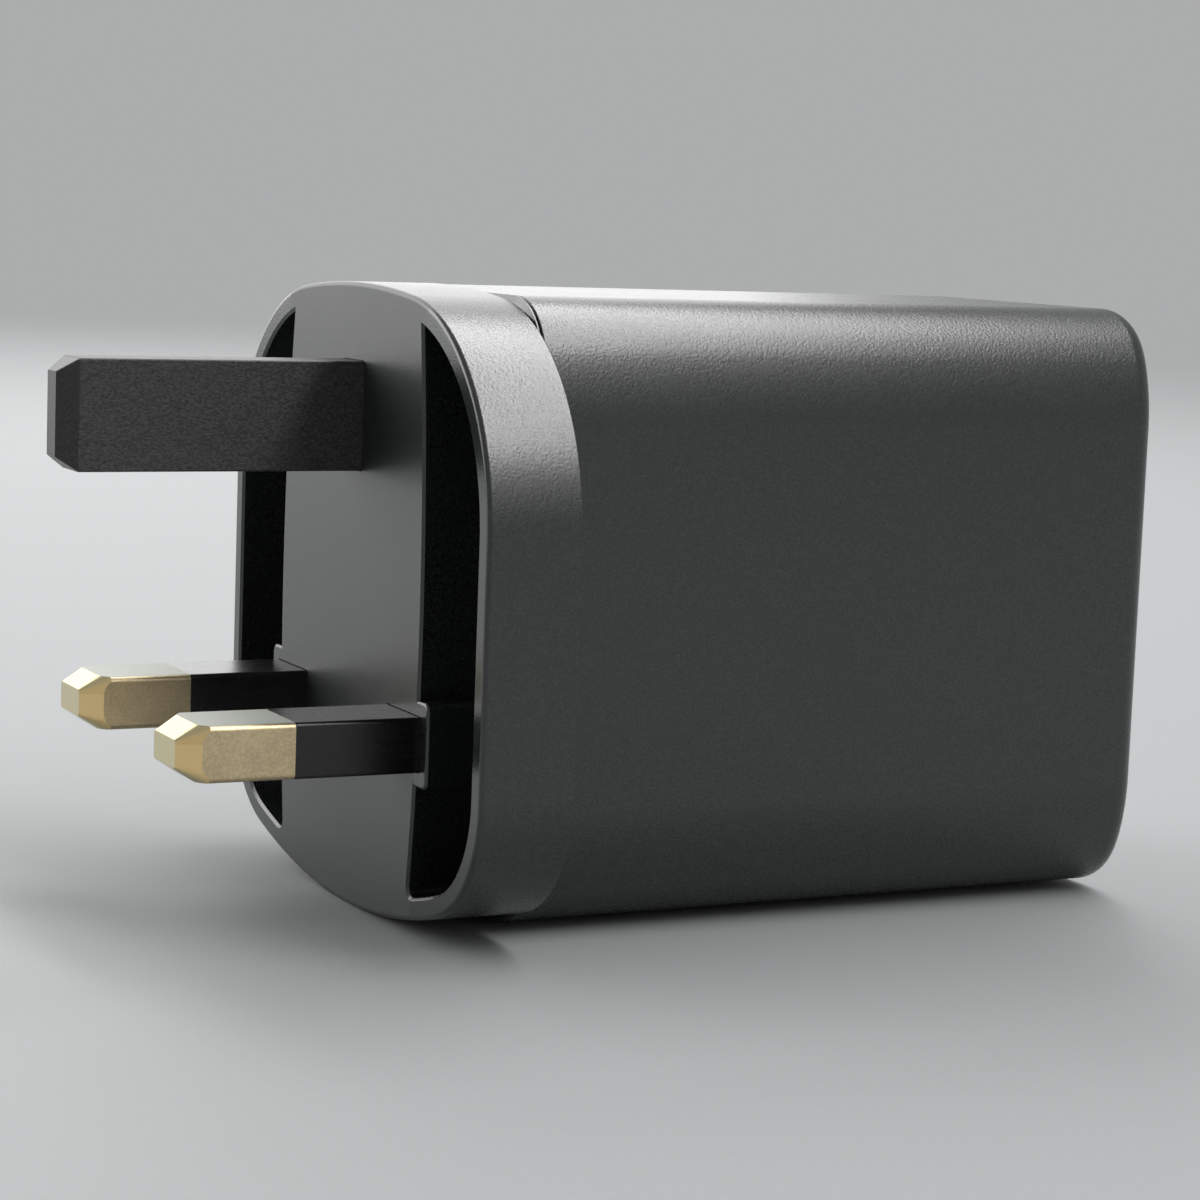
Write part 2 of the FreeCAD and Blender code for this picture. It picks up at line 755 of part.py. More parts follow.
c_tongue = (c_tongue_width, c_tongue_thickness, 0)
for name, z in c_port_places():
    section = (z, c_port_width, c_port_height, c_port_height / 2)
    save(name + "_shell", make_port_shell(*section))
    save(name + "_insulator", make_port_insulator(*section, c_port_mouth_depth, c_tongue))
a_section = (a_port_z, a_port_width, a_port_height, a_port_corner)
a_tongue = (a_tongue_width, a_tongue_thickness, a_tongue_offset)
save("usb_a_shell", make_port_shell(*a_section))
save("usb_a_insulator", make_port_insulator(*a_section, a_port_mouth_depth, a_tongue))
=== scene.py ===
"""Looks of a three-pin wall charger: finishes for every piece, socket contacts, and a plain studio."""
import math

import bpy
from mathutils import Euler, Matrix, Vector


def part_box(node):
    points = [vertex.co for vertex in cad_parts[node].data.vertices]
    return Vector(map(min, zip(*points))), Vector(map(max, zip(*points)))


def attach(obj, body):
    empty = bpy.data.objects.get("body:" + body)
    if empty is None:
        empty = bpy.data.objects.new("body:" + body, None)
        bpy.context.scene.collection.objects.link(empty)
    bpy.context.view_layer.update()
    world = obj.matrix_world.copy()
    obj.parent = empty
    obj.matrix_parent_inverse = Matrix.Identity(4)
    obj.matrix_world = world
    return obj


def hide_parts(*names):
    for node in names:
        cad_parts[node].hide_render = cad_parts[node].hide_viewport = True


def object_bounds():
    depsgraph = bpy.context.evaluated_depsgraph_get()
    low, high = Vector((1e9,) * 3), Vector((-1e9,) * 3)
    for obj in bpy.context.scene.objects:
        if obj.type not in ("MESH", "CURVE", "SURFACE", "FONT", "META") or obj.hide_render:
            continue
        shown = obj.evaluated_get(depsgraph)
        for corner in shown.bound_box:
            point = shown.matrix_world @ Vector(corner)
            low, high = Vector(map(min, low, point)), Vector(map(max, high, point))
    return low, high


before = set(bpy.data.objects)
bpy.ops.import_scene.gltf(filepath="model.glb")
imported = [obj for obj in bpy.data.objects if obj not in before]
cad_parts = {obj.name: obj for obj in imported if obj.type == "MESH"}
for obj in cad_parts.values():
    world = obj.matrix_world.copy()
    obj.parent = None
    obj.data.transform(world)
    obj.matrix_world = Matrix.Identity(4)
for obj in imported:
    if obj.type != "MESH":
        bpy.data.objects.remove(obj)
cad_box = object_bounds()

# Plug base
# One injection moulding in near-black plastic: collar, face strip, side recesses and pin bosses.
# The mould was spark-eroded, which leaves an even satin grain that catches the light in small sparks.
# The grain is worn on the face, where the plug is pushed home, and duller on the strip between the recesses.
MM = 0.001
PLASTIC_BLACK = (0.0055, 0.0068, 0.0066, 1)
PLASTIC_PALE = (0.0195, 0.0232, 0.0225, 1)
PLASTIC_IOR = 1.58
PLASTIC_SHINE = 0.65
GRAIN_SIZE = 0.20 * MM
GRAIN_HEIGHT = 0.018 * MM
CLOUD_SIZE = 9.0 * MM
WORN_DEPTH = 0.5 * MM
STRIP_HALF = 13.7 * MM


def find_socket(sockets, key):
    """A socket by its identifier, its index or its name."""
    for socket in sockets:
        if socket.identifier == key:
            return socket
    return sockets[key]


class Signal:
    """A socket in a node tree. Arithmetic adds Math nodes, and node() adds any other node."""

    def __init__(self, tree, socket=None):
        self.tree = tree
        self.socket = socket

    def node(self, kind, settings, values, output=0):
        made = self.tree.nodes.new(kind)
        for name, value in settings.items():
            setattr(made, name, value)
        for key, value in values.items():
            socket = find_socket(made.inputs, key)
            if isinstance(value, Signal):
                self.tree.links.new(value.socket, socket)
            else:
                socket.default_value = value
        return Signal(self.tree, find_socket(made.outputs, output) if made.outputs else None)

    def maths(self, operation, first, second=0.0):
        return self.node("ShaderNodeMath", {"operation": operation}, {0: first, 1: second})

    def __add__(self, other):
        return self.maths("ADD", self, other)

    def __sub__(self, other):
        return self.maths("SUBTRACT", self, other)

    def __mul__(self, other):
        return self.maths("MULTIPLY", self, other)

    def __truediv__(self, other):
        return self.maths("DIVIDE", self, other)

    def __radd__(self, other):
        return self.maths("ADD", other, self)

    def __rsub__(self, other):
        return self.maths("SUBTRACT", other, self)

    def __rmul__(self, other):
        return self.maths("MULTIPLY", other, self)

    def __rtruediv__(self, other):
        return self.maths("DIVIDE", other, self)


def along(place, axis):
    """The place's own coordinate on one axis."""
    return place.node("ShaderNodeSeparateXYZ", {}, {"Vector": place}, axis)


def noise(place, size, detail=2.0, stretch=(1, 1, 1)):
    """Soft random spots of about the given size, which a stretch makes longer along an axis."""
    scale = [1 / (size * part) for part in stretch]
    placed = place.node("ShaderNodeMapping", {}, {"Vector": place, "Scale": scale})
    return placed.node("ShaderNodeTexNoise", {}, {"Vector": placed, "Scale": 1.0, "Detail": detail})


def ramp(signal, low, high):
    """Turns a signal's low to high range into 0 to 1, with soft ends."""
    settings = {"interpolation_type": "SMOOTHSTEP"}
    return signal.node("ShaderNodeMapRange", settings, {"Value": signal, "From Min": low, "From Max": high})


def blend(factor, first, second):
    """Mixes two colours, each a signal or a constant."""
    values = {"Factor_Float": factor, "A_Color": first, "B_Color": second}
    return factor.node("ShaderNodeMix", {"data_type": "RGBA"}, values, "Result_Color")


def bump(height, depth, facing=None):
    """Raises a skin by a height, over the way it faces if that is given."""
    values = {"Height": height, "Distance": depth, "Strength": 1.0}
    if facing is not None:
        values["Normal"] = facing
    return height.node("ShaderNodeBump", {}, values)


def make_finish(name, sockets):
    """A material whose Principled sockets are worked out from the place on the piece."""
    material = bpy.data.materials.new(name)
    material.use_nodes = True
    tree = material.node_tree
    tree.nodes.clear()
    place = Signal(tree).node("ShaderNodeTexCoord", {}, {}, "Object")
    shader = place.node("ShaderNodeBsdfPrincipled", {}, sockets(place))
    shader.node("ShaderNodeOutputMaterial", {}, {"Surface": shader})
    return material


def dress(nodes, material):
    """Gives solids their finish."""
    for node in nodes:
        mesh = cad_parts[node].data
        mesh.materials.clear()
        mesh.materials.append(material)


face_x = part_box("plug_base")[0].x


def satin_plastic(place, facing=None):
    grain = noise(place, GRAIN_SIZE)
    cloud = noise(place, CLOUD_SIZE)
    kept = ramp(along(place, "X"), face_x, face_x + WORN_DEPTH)
    beyond = ramp(place.maths("ABSOLUTE", along(place, "Y")), STRIP_HALF - WORN_DEPTH, STRIP_HALF)
    dull = (1 - kept) * (1 - beyond)
    return {
        "Base Color": blend(ramp(grain, 0.35, 0.7), PLASTIC_BLACK, PLASTIC_PALE),
        "Roughness": 0.17 + kept * 0.05 + dull * 0.14 + grain * 0.06 + cloud * 0.05,
        "IOR": PLASTIC_IOR,
        "Specular IOR Level": PLASTIC_SHINE,
        "Normal": bump(grain * (kept * 0.6 + 0.4), GRAIN_HEIGHT, facing),
    }


satin_black = make_finish("satin_black_plastic", satin_plastic)
dress(["plug_base"], satin_black)

# Live and neutral pins
# Drawn brass bar, tumbled to a fine dull grain, with a tip that is cut to a taper from all four faces.
# The cuts at its sides carry a painted golden highlight, and the broad rolled faces, the dullest, carry a
# painted silver-grey reflection of the light above.
BRASS_PALE = (0.69, 0.56, 0.350, 1)
BRASS_DULL = (0.53, 0.43, 0.270, 1)
# Painted silver-grey reflection of the light above, laid on the broad faces.
BRASS_PAINTED_SHEEN = (0.43, 0.445, 0.410, 1)
BRASS_CUT = (0.62, 0.55, 0.325, 1)
# Painted golden highlight, laid on the tip's cuts that face sideways.
BRASS_PAINTED_GLINT = (0.92, 0.68, 0.32, 1)
CUT_FACING = (-0.35, -0.20)
BROAD_FACING = (0.8, 1.0)
SIDE_FACING = (0.5, 0.8)


def tumbled_brass(place):
    fine = noise(place, 0.18 * MM, 3.0)
    drawn = noise(place, 0.12 * MM, 2.0, (6, 1, 1))
    stain = noise(place, 1.8 * MM, 3.0)
    skin = fine * 0.8 + drawn * 0.2
    sides = blend(ramp(skin * 0.7 + stain * 0.3, 0.36, 0.64), BRASS_DULL, BRASS_PALE)
    facing = place.node("ShaderNodeTexCoord", {}, {}, "Normal")
    rolled = ramp(along(facing, "X"), *CUT_FACING)
    broad = ramp(place.maths("ABSOLUTE", along(facing, "Z")), *BROAD_FACING)
    sideways = ramp(place.maths("ABSOLUTE", along(facing, "Y")), *SIDE_FACING)
    # Tip cuts that face sideways get a painted golden highlight, and broad faces get a painted silver-grey
    # reflection of the light above.
    cut = blend(sideways, BRASS_CUT, BRASS_PAINTED_GLINT)
    return {
        "Base Color": blend(rolled, cut, blend(broad * (0.5 + skin), sides, BRASS_PAINTED_SHEEN)),
        "Metallic": 1.0,
        "Roughness": 0.16 + rolled * 0.16 + rolled * broad * 0.28 + skin * 0.10,
        "Normal": bump(skin * (0.3 + rolled * 0.7), 0.012 * MM),
    }


dress(["live_pin", "neutral_pin"], make_finish("tumbled_brass", tumbled_brass))

# Pin sleeves
# Smooth black insulation moulded round the root half of each brass pin, level with the brass in front of it.
# Faint flow marks run along the pin.
SLEEVE_BLACK = (0.0062, 0.0063, 0.0065, 1)
SLEEVE_GREY = (0.0090, 0.0091, 0.0094, 1)


def moulded_sleeve(place):
    flow = noise(place, 0.60 * MM, 2.0, (4, 1, 1))
    fine = noise(place, 0.12 * MM)
    return {
        "Base Color": blend(ramp(flow, 0.3, 0.7), SLEEVE_BLACK, SLEEVE_GREY),
        "Roughness": 0.25 + flow * 0.05,
        "Normal": bump(fine, 0.005 * MM),
    }


dress(["live_pin_sleeve", "neutral_pin_sleeve"], make_finish("sleeve_black", moulded_sleeve))

# Earth pin
# A plastic pin with no current to carry, moulded in a warm black with a coarse, streaky skin.
# Its tapered tip comes from a smoother part of the mould.
EARTH_BLACK = (0.0160, 0.0156, 0.0150, 1)
EARTH_GREY = (0.0700, 0.0680, 0.0645, 1)
EARTH_TIP_LENGTH = 1.45 * MM
EDGE_BLEND = 0.10 * MM
earth_tip_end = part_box("earth_pin")[0].x + EARTH_TIP_LENGTH


def streaky_plastic(place):
    streak = noise(place, 0.13 * MM, 3.0, (2, 1, 1))
    pits = noise(place, 0.20 * MM, 3.0)
    shank = ramp(along(place, "X"), earth_tip_end - EDGE_BLEND, earth_tip_end)
    skin = streak * 0.6 + pits * 0.4
    return {
        "Base Color": blend(ramp(skin, 0.36, 0.66) * (0.4 + shank * 0.6), EARTH_BLACK, EARTH_GREY),
        "Roughness": 0.30 + shank * 0.10 + skin * 0.12,
        "Normal": bump(skin * shank, 0.045 * MM),
    }


dress(["earth_pin"], make_finish("streaky_earth_plastic", streaky_plastic))

# Contact strips
# Folded strips of tinned copper, each pressed against the head of a brass pin and soldered to the main board.
# The tin is bright where it flowed and grey where it was rolled.
TIN_BRIGHT = (0.74, 0.73, 0.71, 1)
TIN_GREY = (0.52, 0.51, 0.50, 1)


def tinned_strip(place):
    rolled = noise(place, 0.10 * MM, 2.0, (10, 1, 1))
    flow = noise(place, 1.4 * MM, 3.0)
    return {
        "Base Color": blend(ramp(flow, 0.35, 0.65), TIN_GREY, TIN_BRIGHT),
        "Metallic": 1.0,
        "Roughness": 0.22 + rolled * 0.20,
        "Normal": bump(rolled, 0.006 * MM),
    }


dress(["live_contact_strip", "neutral_contact_strip"], make_finish("tinned_strip", tinned_strip))

# Main board and output board
# Glass-fibre laminate under green lacquer, through which broad copper areas show as a paler green.
# The lanes between them are bare laminate, and the weave of the glass cloth shows as a fine square bump.
LACQUER_GREEN = (0.012, 0.075, 0.030, 1)
COPPER_GREEN = (0.030, 0.150, 0.055, 1)
LANE_SIZE = 3.2 * MM
LANE_WIDTH = 0.10
LANE_WANDER = 0.8
WEAVE_PITCH = 0.5 * MM


def laminate(place):
    scaled = place.node("ShaderNodeMapping", {}, {"Vector": place, "Scale": [1 / LANE_SIZE] * 3})
    cells = {"Vector": scaled, "Scale": 1.0, "Randomness": LANE_WANDER}
    lane = scaled.node("ShaderNodeTexVoronoi", {"feature": "DISTANCE_TO_EDGE"}, cells, "Distance")
    turns = 2 * math.pi / WEAVE_PITCH
    threads = [place.maths("SINE", along(place, axis) * turns) for axis in "XYZ"]
    weave = threads[0] * threads[2] + threads[1] * threads[2]
    copper = ramp(lane, LANE_WIDTH, LANE_WIDTH * 1.5)
    return {
        "Base Color": blend(copper, LACQUER_GREEN, COPPER_GREEN),
        "Roughness": 0.28 + noise(place, 0.8 * MM) * 0.14,
        "Normal": bump(copper * 2.0 + weave * 0.3, 0.010 * MM),
    }


dress(["main_board", "output_board"], make_finish("green_laminate", laminate))

# Power chips, their pads, the heat spreader and the insulating sheet
# Two moulded chips on the back of the board press soft pads against an aluminium plate that takes their heat.
# An amber film keeps the plate off the housing. Film and pads are cut with a knife, and the plate is sheared.
EPOXY_BLACK = (0.0120, 0.0120, 0.0125, 1)
EPOXY_GREY = (0.0230, 0.0230, 0.0235, 1)
PAD_GREY = (0.30, 0.31, 0.33, 1)
PAD_PALE = (0.40, 0.41, 0.43, 1)
ALUMINIUM = (0.78, 0.79, 0.80, 1)
ALUMINIUM_DULL = (0.62, 0.63, 0.64, 1)
FILM_AMBER = (0.52, 0.20, 0.022, 1)
FILM_DEEP = (0.38, 0.13, 0.014, 1)


def moulded_epoxy(place):
    grain = noise(place, 0.10 * MM, 3.0)
    return {
        "Base Color": blend(ramp(grain, 0.35, 0.7), EPOXY_BLACK, EPOXY_GREY),
        "Roughness": 0.48 + grain * 0.20,
        "Normal": bump(grain, 0.010 * MM),
    }


def soft_pad(place):
    filler = noise(place, 0.30 * MM, 3.0)
    return {
        "Base Color": blend(ramp(filler, 0.35, 0.65), PAD_GREY, PAD_PALE),
        "Roughness": 0.62 + filler * 0.20,
        "Normal": bump(filler, 0.012 * MM),
    }


def sheared_aluminium(place):
    brushed = noise(place, 0.06 * MM, 3.0, (60, 1, 1))
    return {
        "Base Color": blend(ramp(brushed, 0.3, 0.7), ALUMINIUM_DULL, ALUMINIUM),
        "Metallic": 1.0,
        "Roughness": 0.26 + brushed * 0.20,
        "Normal": bump(brushed, 0.004 * MM),
    }


def amber_film(place):
    ripple = noise(place, 4.0 * MM)
    return {
        "Base Color": blend(ripple, FILM_DEEP, FILM_AMBER),
        "Roughness": 0.14 + ripple * 0.12,
        "Normal": bump(ripple, 0.05 * MM),
    }


epoxy_black = make_finish("epoxy_black", moulded_epoxy)
dress(["bridge_rectifier", "power_switch"], epoxy_black)
dress(["bridge_rectifier_pad", "power_switch_pad"], make_finish("soft_pad_grey", soft_pad))
dress(["heat_spreader"], make_finish("sheared_aluminium", sheared_aluminium))
dress(["insulating_sheet"], make_finish("amber_film", amber_film))

# Fuse and film capacitor
# The fuse is a ceramic tube with a plated cap crimped on each end.
# The film capacitor is wound film in a yellow box, which is filled with resin.
# Both are soldered to the board near the contact strips.
CERAMIC_WHITE = (0.66, 0.63, 0.57, 1)
CERAMIC_STAIN = (0.55, 0.51, 0.44, 1)
CAP_PLATING = (0.70, 0.70, 0.69, 1)
FUSE_CAP_LENGTH = 1.9 * MM
BOX_YELLOW = (0.62, 0.40, 0.030, 1)
BOX_OCHRE = (0.50, 0.31, 0.020, 1)
fuse_low, fuse_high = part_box("fuse")


def capped_ceramic(place):
    fine = noise(place, 0.2 * MM, 3.0)
    height = along(place, "Z")
    lower = 1 - ramp(height, fuse_low.z + FUSE_CAP_LENGTH, fuse_low.z + FUSE_CAP_LENGTH + EDGE_BLEND)
    upper = ramp(height, fuse_high.z - FUSE_CAP_LENGTH - EDGE_BLEND, fuse_high.z - FUSE_CAP_LENGTH)
    cap = lower + upper
    ceramic = blend(ramp(fine, 0.3, 0.7), CERAMIC_STAIN, CERAMIC_WHITE)
    return {
        "Base Color": blend(cap, ceramic, CAP_PLATING),
        "Metallic": cap,
        "Roughness": 0.38 + fine * 0.16 - cap * 0.16,
        "Normal": bump(cap * 3.0 + fine * 0.2, 0.03 * MM),
    }


def yellow_box(place):
    grain = noise(place, 0.18 * MM, 3.0)
    return {
        "Base Color": blend(ramp(grain, 0.3, 0.7), BOX_OCHRE, BOX_YELLOW),
        "Roughness": 0.34 + grain * 0.16,
        "Normal": bump(grain, 0.010 * MM),
    }


dress(["fuse"], make_finish("capped_ceramic", capped_ceramic))
dress(["film_capacitor"], make_finish("yellow_capacitor_box", yellow_box))

# Choke
# A ferrite ring in green lacquer carries two windings of enamelled copper, one on each side.
# Each winding is a row of wire loops drawn tight round the ring. A moulded foot holds the ring off the board.
RING_GREEN = (0.020, 0.110, 0.060, 1)
RING_DEEP = (0.012, 0.070, 0.040, 1)
ENAMEL_COPPER = (0.62, 0.22, 0.085, 1)
ENAMEL_DARK = (0.45, 0.14, 0.050, 1)
WIRE_RADIUS = 0.36 * MM
WIRE_SIDES = 10
WIRE_TURNS = 15
WIRE_SWEEP = math.radians(122)
LOOP_BEND = 1.6
LOOP_BEND_POINTS = 4
CHOKE_WIRE_LAYER = 0.8 * MM
CHOKE_BORE = 3.5 * MM
core_low, core_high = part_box("choke_core")
choke_middle = (core_low + core_high) / 2
choke_rim = (core_high.x - core_low.x) / 2


def lacquered_ring(place):
    dimple = noise(place, 0.5 * MM, 3.0)
    return {
        "Base Color": blend(ramp(dimple, 0.3, 0.7), RING_DEEP, RING_GREEN),
        "Roughness": 0.24 + dimple * 0.14,
        "Normal": bump(dimple, 0.030 * MM),
    }


def enamelled_copper(place):
    streak = noise(place, 0.25 * MM, 3.0)
    return {
        "Base Color": blend(ramp(streak, 0.3, 0.7), ENAMEL_DARK, ENAMEL_COPPER),
        "Metallic": 1.0,
        "Roughness": 0.20 + streak * 0.12,
        "Coat Weight": 0.5 + streak * 0.3,
    }


def make_tree(name, inputs):
    """An empty Geometry Nodes tree with named inputs; gives the tree and a signal for each input."""
    tree = bpy.data.node_groups.new(name, "GeometryNodeTree")
    for label, kind in inputs.items():
        tree.interface.new_socket(label, in_out="INPUT", socket_type="NodeSocket" + kind)
    tree.interface.new_socket("Mesh", in_out="OUTPUT", socket_type="NodeSocketGeometry")
    entry = tree.nodes.new("NodeGroupInput")
    return tree, [Signal(tree, entry.outputs[label]) for label in inputs]


def close_tree(shape, material):
    """Ends a tree: real geometry in place of instances, and one finish."""
    solid = shape.node("GeometryNodeRealizeInstances", {}, {"Geometry": shape})
    smooth = solid.node("GeometryNodeSetShadeSmooth", {}, {"Geometry": solid, "Shade Smooth": True})
    finished = smooth.node("GeometryNodeSetMaterial", {}, {"Geometry": smooth, "Material": material})
    finished.node("NodeGroupOutput", {}, {"Mesh": finished})


def grow(name, tree, sizes, points=()):
    """Runs a tree on a set of points with the sizes given, and keeps the result as a plain mesh."""
    seed = bpy.data.meshes.new(name + "_points")
    seed.from_pydata([tuple(point) for point in points], [], [])
    piece = bpy.data.objects.new(name, seed)
    bpy.context.scene.collection.objects.link(piece)
    modifier = piece.modifiers.new("grow", "NODES")
    modifier.node_group = tree
    for item in tree.interface.items_tree:
        if item.in_out == "INPUT" and item.name in sizes:
            modifier[item.identifier] = sizes[item.name]
    evaluated = piece.evaluated_get(bpy.context.evaluated_depsgraph_get())
    mesh = bpy.data.meshes.new_from_object(evaluated)
    mesh.name = name
    piece.modifiers.remove(modifier)
    piece.data = mesh
    bpy.data.meshes.remove(seed)
    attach(piece, "root")
    return piece


def make_wire_tree(material):
    """Wire loops side by side round part of a ring, each turned to face along the ring."""
    inputs = {"Turns": "Int", "Start": "Float", "Sweep": "Float", "Ring Radius": "Float",
              "Loop Width": "Float", "Loop Height": "Float", "Wire Radius": "Float", "Centre": "Vector"}
    tree, (turns, start, sweep, ring, width, height, wire, centre) = make_tree("wire_turns", inputs)
    angle = start + turns.node("GeometryNodeInputIndex", {}, {}) * sweep / (turns - 1)
    across = ring * angle.maths("COSINE", angle)
    beyond = ring * angle.maths("SINE", angle)
    offset = angle.node("ShaderNodeCombineXYZ", {}, {"X": across, "Y": beyond, "Z": 0.0})
    spot = offset.node("ShaderNodeVectorMath", {"operation": "ADD"}, {0: offset, 1: centre})
    facing = angle.node("ShaderNodeCombineXYZ", {}, {"X": math.pi / 2, "Y": 0.0, "Z": angle})
    row = spot.node("GeometryNodePoints", {}, {"Count": turns, "Position": spot, "Radius": wire})
    square = row.node("GeometryNodeCurvePrimitiveQuadrilateral", {}, {"Width": width, "Height": height})
    corners = {"Curve": square, "Count": LOOP_BEND_POINTS, "Radius": wire * LOOP_BEND}
    loop = row.node("GeometryNodeFilletCurve", {"mode": "POLY"}, corners)
    round_wire = row.node("GeometryNodeCurvePrimitiveCircle", {}, {"Resolution": WIRE_SIDES, "Radius": wire})
    turn = row.node("GeometryNodeCurveToMesh", {}, {"Curve": loop, "Profile Curve": round_wire})
    placed = {"Points": row, "Instance": turn, "Rotation": facing}
    close_tree(row.node("GeometryNodeInstanceOnPoints", {}, placed), material)
    return tree


dress(["choke_core"], make_finish("lacquered_ring", lacquered_ring))
copper_wire = make_finish("enamelled_copper", enamelled_copper)
dress(["choke_winding_live", "choke_winding_neutral"], copper_wire)
wire_tree = make_wire_tree(copper_wire)
wire_sizes = {
    "Turns": WIRE_TURNS,
    "Sweep": WIRE_SWEEP,
    "Ring Radius": (choke_rim + CHOKE_BORE) / 2,
    "Loop Width": choke_rim - CHOKE_BORE + CHOKE_WIRE_LAYER,
    "Loop Height": core_high.z - core_low.z + CHOKE_WIRE_LAYER,
    "Wire Radius": WIRE_RADIUS,
    "Centre": choke_middle,
}
for side, middle_angle in (("live", 0), ("neutral", math.pi)):
    winding = grow("choke_wire_" + side, wire_tree, {**wire_sizes, "Start": middle_angle - WIRE_SWEEP / 2})
    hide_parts("choke_winding_" + side)

# Bulk capacitors
# Aluminium cans in a shrunk plastic sleeve, with a pale stripe down the negative side.
# The bare end of each can has a scored cross that opens if the pressure rises.
SLEEVE_BROWN = (0.030, 0.018, 0.012, 1)
SLEEVE_RUST = (0.046, 0.027, 0.017, 1)
STRIPE_PALE = (0.50, 0.47, 0.42, 1)
CAN_ROLL = 1.0 * MM
SCORE_WIDTH = 0.28 * MM
CAN_END = 0.10 * MM
CAN_END_BLEND = 0.15 * MM
STRIPE_DEPTH = 0.12


def from_axis(place, centre, kept):
    """Distance from an axis through a point; the axes to measure across are kept as ones."""
    shifted = place.node("ShaderNodeVectorMath", {"operation": "SUBTRACT"}, {0: place, 1: centre})
    flat = shifted.node("ShaderNodeVectorMath", {"operation": "MULTIPLY"}, {0: shifted, 1: kept})
    return flat.node("ShaderNodeVectorMath", {"operation": "LENGTH"}, {0: flat}, "Value")


def sleeved_can(low, high):
    """The sleeve, stripe and bare scored end of one upright can."""
    centre = (low + high) / 2
    radius = (high.x - low.x) / 2

    def finish(place):
        fine = noise(place, 0.25 * MM, 3.0)
        end = 1 - ramp(along(place, "Y"), low.y + CAN_END, low.y + CAN_END + CAN_END_BLEND)
        rim = from_axis(place, centre, (1, 0, 1))
        bare = end * (1 - ramp(rim, radius - CAN_ROLL, radius - CAN_ROLL * 0.8))
        across = place.maths("ABSOLUTE", along(place, "X") - centre.x)
        beside = place.maths("ABSOLUTE", along(place, "Z") - centre.z)
        score = 1 - ramp(place.maths("MINIMUM", across, beside), SCORE_WIDTH / 2, SCORE_WIDTH)
        stripe_edge = high.x - radius * STRIPE_DEPTH
        stripe = ramp(along(place, "X") - stripe_edge, 0.0, EDGE_BLEND)
        sleeve = blend(ramp(fine, 0.3, 0.7), SLEEVE_BROWN, SLEEVE_RUST)
        return {
            "Base Color": blend(bare, blend(stripe, sleeve, STRIPE_PALE), ALUMINIUM),
            "Metallic": bare,
            "Roughness": 0.22 + fine * 0.14,
            "Normal": bump(fine * 0.2 - bare * (1 + score), 0.04 * MM),
        }

    return finish


for node in ("bulk_capacitor_1", "bulk_capacitor_2"):
    dress([node], make_finish(node + "_sleeve", sleeved_can(*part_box(node))))

# Safety capacitor
# A ceramic disc dipped in blue resin, which bridges the mains side and the output side.
# The resin ran a little as it set, so its gloss is uneven.
DIP_BLUE = (0.030, 0.105, 0.30, 1)
DIP_DEEP = (0.018, 0.070, 0.21, 1)


def dipped_disc(place):
    run = noise(place, 1.2 * MM)
    return {
        "Base Color": blend(ramp(run, 0.3, 0.7), DIP_DEEP, DIP_BLUE),
        "Roughness": 0.16 + run * 0.12,
        "Normal": bump(run, 0.06 * MM),
    }


dress(["safety_capacitor"], make_finish("dipped_blue_resin", dipped_disc))

# Transformer
# Two ferrite halves clamp a moulded reel. Ferrite is pressed and fired, so it is matt and finely speckled.
# The winding on the reel is wrapped in yellow film tape, whose laps show as steps.
FERRITE_DARK = (0.030, 0.030, 0.032, 1)
FERRITE_GREY = (0.060, 0.060, 0.063, 1)
REEL_BLACK = (0.015, 0.015, 0.015, 1)
REEL_GREY = (0.026, 0.026, 0.026, 1)
TAPE_YELLOW = (0.66, 0.46, 0.035, 1)
TAPE_DEEP = (0.54, 0.35, 0.020, 1)
TAPE_LAP = 1.9 * MM


def fired_ferrite(place):
    speckle = noise(place, 0.12 * MM, 4.0)
    return {
        "Base Color": blend(ramp(speckle, 0.35, 0.7), FERRITE_DARK, FERRITE_GREY),
        "Roughness": 0.55 + speckle * 0.20,
        "Normal": bump(speckle, 0.014 * MM),
    }


def moulded_reel(place):
    flow = noise(place, 0.6 * MM, 3.0)
    return {
        "Base Color": blend(ramp(flow, 0.3, 0.7), REEL_BLACK, REEL_GREY),
        "Roughness": 0.36 + flow * 0.14,
        "Normal": bump(flow, 0.012 * MM),
    }


def lapped_tape(place):
    lap = place.maths("FRACT", along(place, "Y") / TAPE_LAP)
    crease = noise(place, 0.7 * MM, 3.0, (1, 3, 1))
    return {
        "Base Color": blend(ramp(crease * 0.6 + lap * 0.4, 0.25, 0.7), TAPE_DEEP, TAPE_YELLOW),
        "Roughness": 0.20 + crease * 0.14,
        "Normal": bump(lap * 0.8 + crease * 0.5, 0.05 * MM),
    }


dress(["transformer_core_lower", "transformer_core_upper"], make_finish("fired_ferrite", fired_ferrite))
reel_black = make_finish("moulded_reel_black", moulded_reel)
dress(["transformer_bobbin", "choke_base"], reel_black)
dress(["transformer_winding"], make_finish("lapped_yellow_tape", lapped_tape))

# Output capacitors and port controller
# Bare aluminium cans of solid polymer, rolled in near the foot. A dark half-moon marks the negative side.
# The controller is one more moulded chip, soldered to the output board.
MOON_VIOLET = (0.055, 0.020, 0.120, 1)
MOON_START = 0.9 * MM
MOON_DEPTH = 0.05 * MM
CAN_GROOVE = 1.1 * MM
GROOVE_HALF = 0.45 * MM


